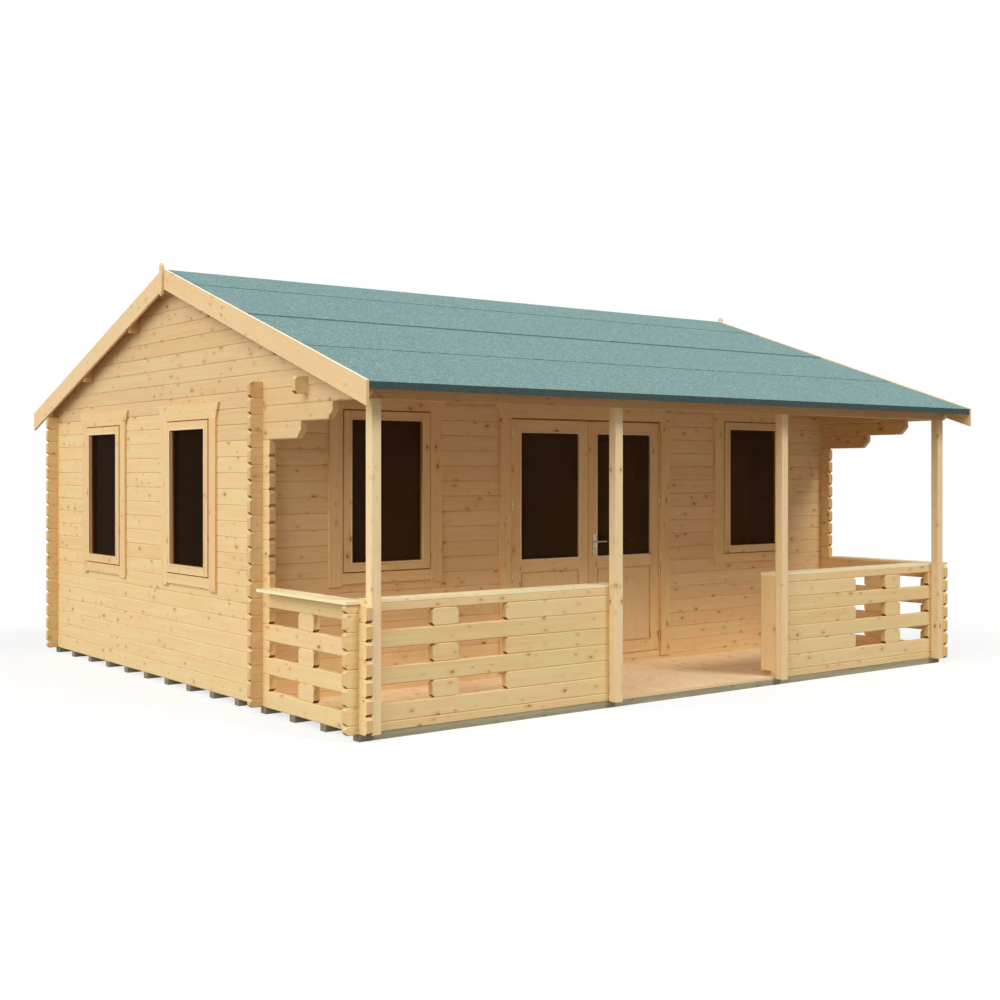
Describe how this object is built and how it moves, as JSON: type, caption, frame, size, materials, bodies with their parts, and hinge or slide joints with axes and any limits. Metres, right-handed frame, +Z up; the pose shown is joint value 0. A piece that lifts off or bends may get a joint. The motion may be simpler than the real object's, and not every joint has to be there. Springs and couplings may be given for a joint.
{
  "type": "log cabin",
  "caption": "Log cabin with notched log corners, a railed front veranda, half-glazed double doors, glazed windows and a felted purlin roof.",
  "frame": {"origin": "on the ground under the middle of the ridge, which is the middle of the base rectangle", "axes": "+X along the ridge to the right of someone facing the doors, +Y from the front to the back, +Z up"},
  "size_m": [6.04, 5.86, 3.2139],
  "materials": {
    "treated_bearer": "green pressure-treated sawn timber",
    "floor_board": "planed spruce boards",
    "spruce_log": "planed spruce with small knots",
    "spruce_joinery": "planed spruce, satin",
    "spruce_board": "planed spruce boards",
    "spruce_beam": "planed spruce",
    "deck_board": "tongued and grooved spruce boards",
    "mineral_felt": "green mineral-faced roofing felt",
    "glass": "clear float glass",
    "hinge_steel": "zinc-plated steel",
    "handle_metal": "satin metal"
  },
  "bodies": {
    "cabin": {"floor_bearers": "treated_bearer", "cabin_floor": "floor_board", "veranda_floor": "floor_board", "left_wall_lower_logs": "spruce_log", "right_wall_lower_logs": "spruce_log", "left_wall_pier_logs": "spruce_log", "right_wall_pier_logs": "spruce_log", "corbel_logs": "spruce_log", "left_gable_logs": "spruce_log", "right_gable_logs": "spruce_log", "front_wall_sill_log": "spruce_log", "front_wall_lower_logs": "spruce_log", "front_wall_pier_logs": "spruce_log", "front_wall_upper_logs": "spruce_log", "back_wall_logs": "spruce_log", "veranda_tie_log": "spruce_log", "front_rail_logs": "spruce_log", "frame_posts": "spruce_joinery", "frame_rails": "spruce_joinery", "side_casings": "spruce_joinery", "head_and_sill_boards": "spruce_joinery", "rail_end_boards": "spruce_board", "side_rail_caps": "spruce_board", "front_rail_caps": "spruce_board", "barge_boards": "spruce_board", "finials": "spruce_board", "veranda_posts": "spruce_beam", "veranda_beam": "spruce_beam", "roof_purlins": "spruce_beam", "roof_deck": "deck_board", "roof_felt": "mineral_felt", "ridge_felt": "mineral_felt", "window_panes": "glass", "frame_hinges": "hinge_steel"},
    "left_door": {"left_door_stiles": "spruce_joinery", "left_door_rails": "spruce_joinery", "left_door_panel": "spruce_joinery", "left_door_pane": "glass", "left_door_hinges": "hinge_steel"},
    "right_door": {"right_door_stiles": "spruce_joinery", "right_door_rails": "spruce_joinery", "right_door_panel": "spruce_joinery", "right_door_pane": "glass", "right_door_hinges": "hinge_steel", "handle_plates": "handle_metal"},
    "door_lever": {"door_lever": "handle_metal"}
  },
  "joints": [
    {"name": "left_door_swing", "type": "hinge", "parent": "cabin", "child": "left_door", "pos_m": [-0.78, -1.4413, 0.1], "axis": [0, 0, -1], "range_deg": [0, 110]},
    {"name": "right_door_swing", "type": "hinge", "parent": "cabin", "child": "right_door", "pos_m": [0.78, -1.4413, 0.1], "axis": [0, 0, 1], "range_deg": [0, 110]},
    {"name": "door_lever_turn", "type": "hinge", "parent": "right_door", "child": "door_lever", "pos_m": [0.0665, -1.434, 1.0735], "axis": [0, 1, 0], "range_deg": [0, 40], "stiffness_Nm_per_rad": 1, "springref_deg": -28.65}
  ]
}
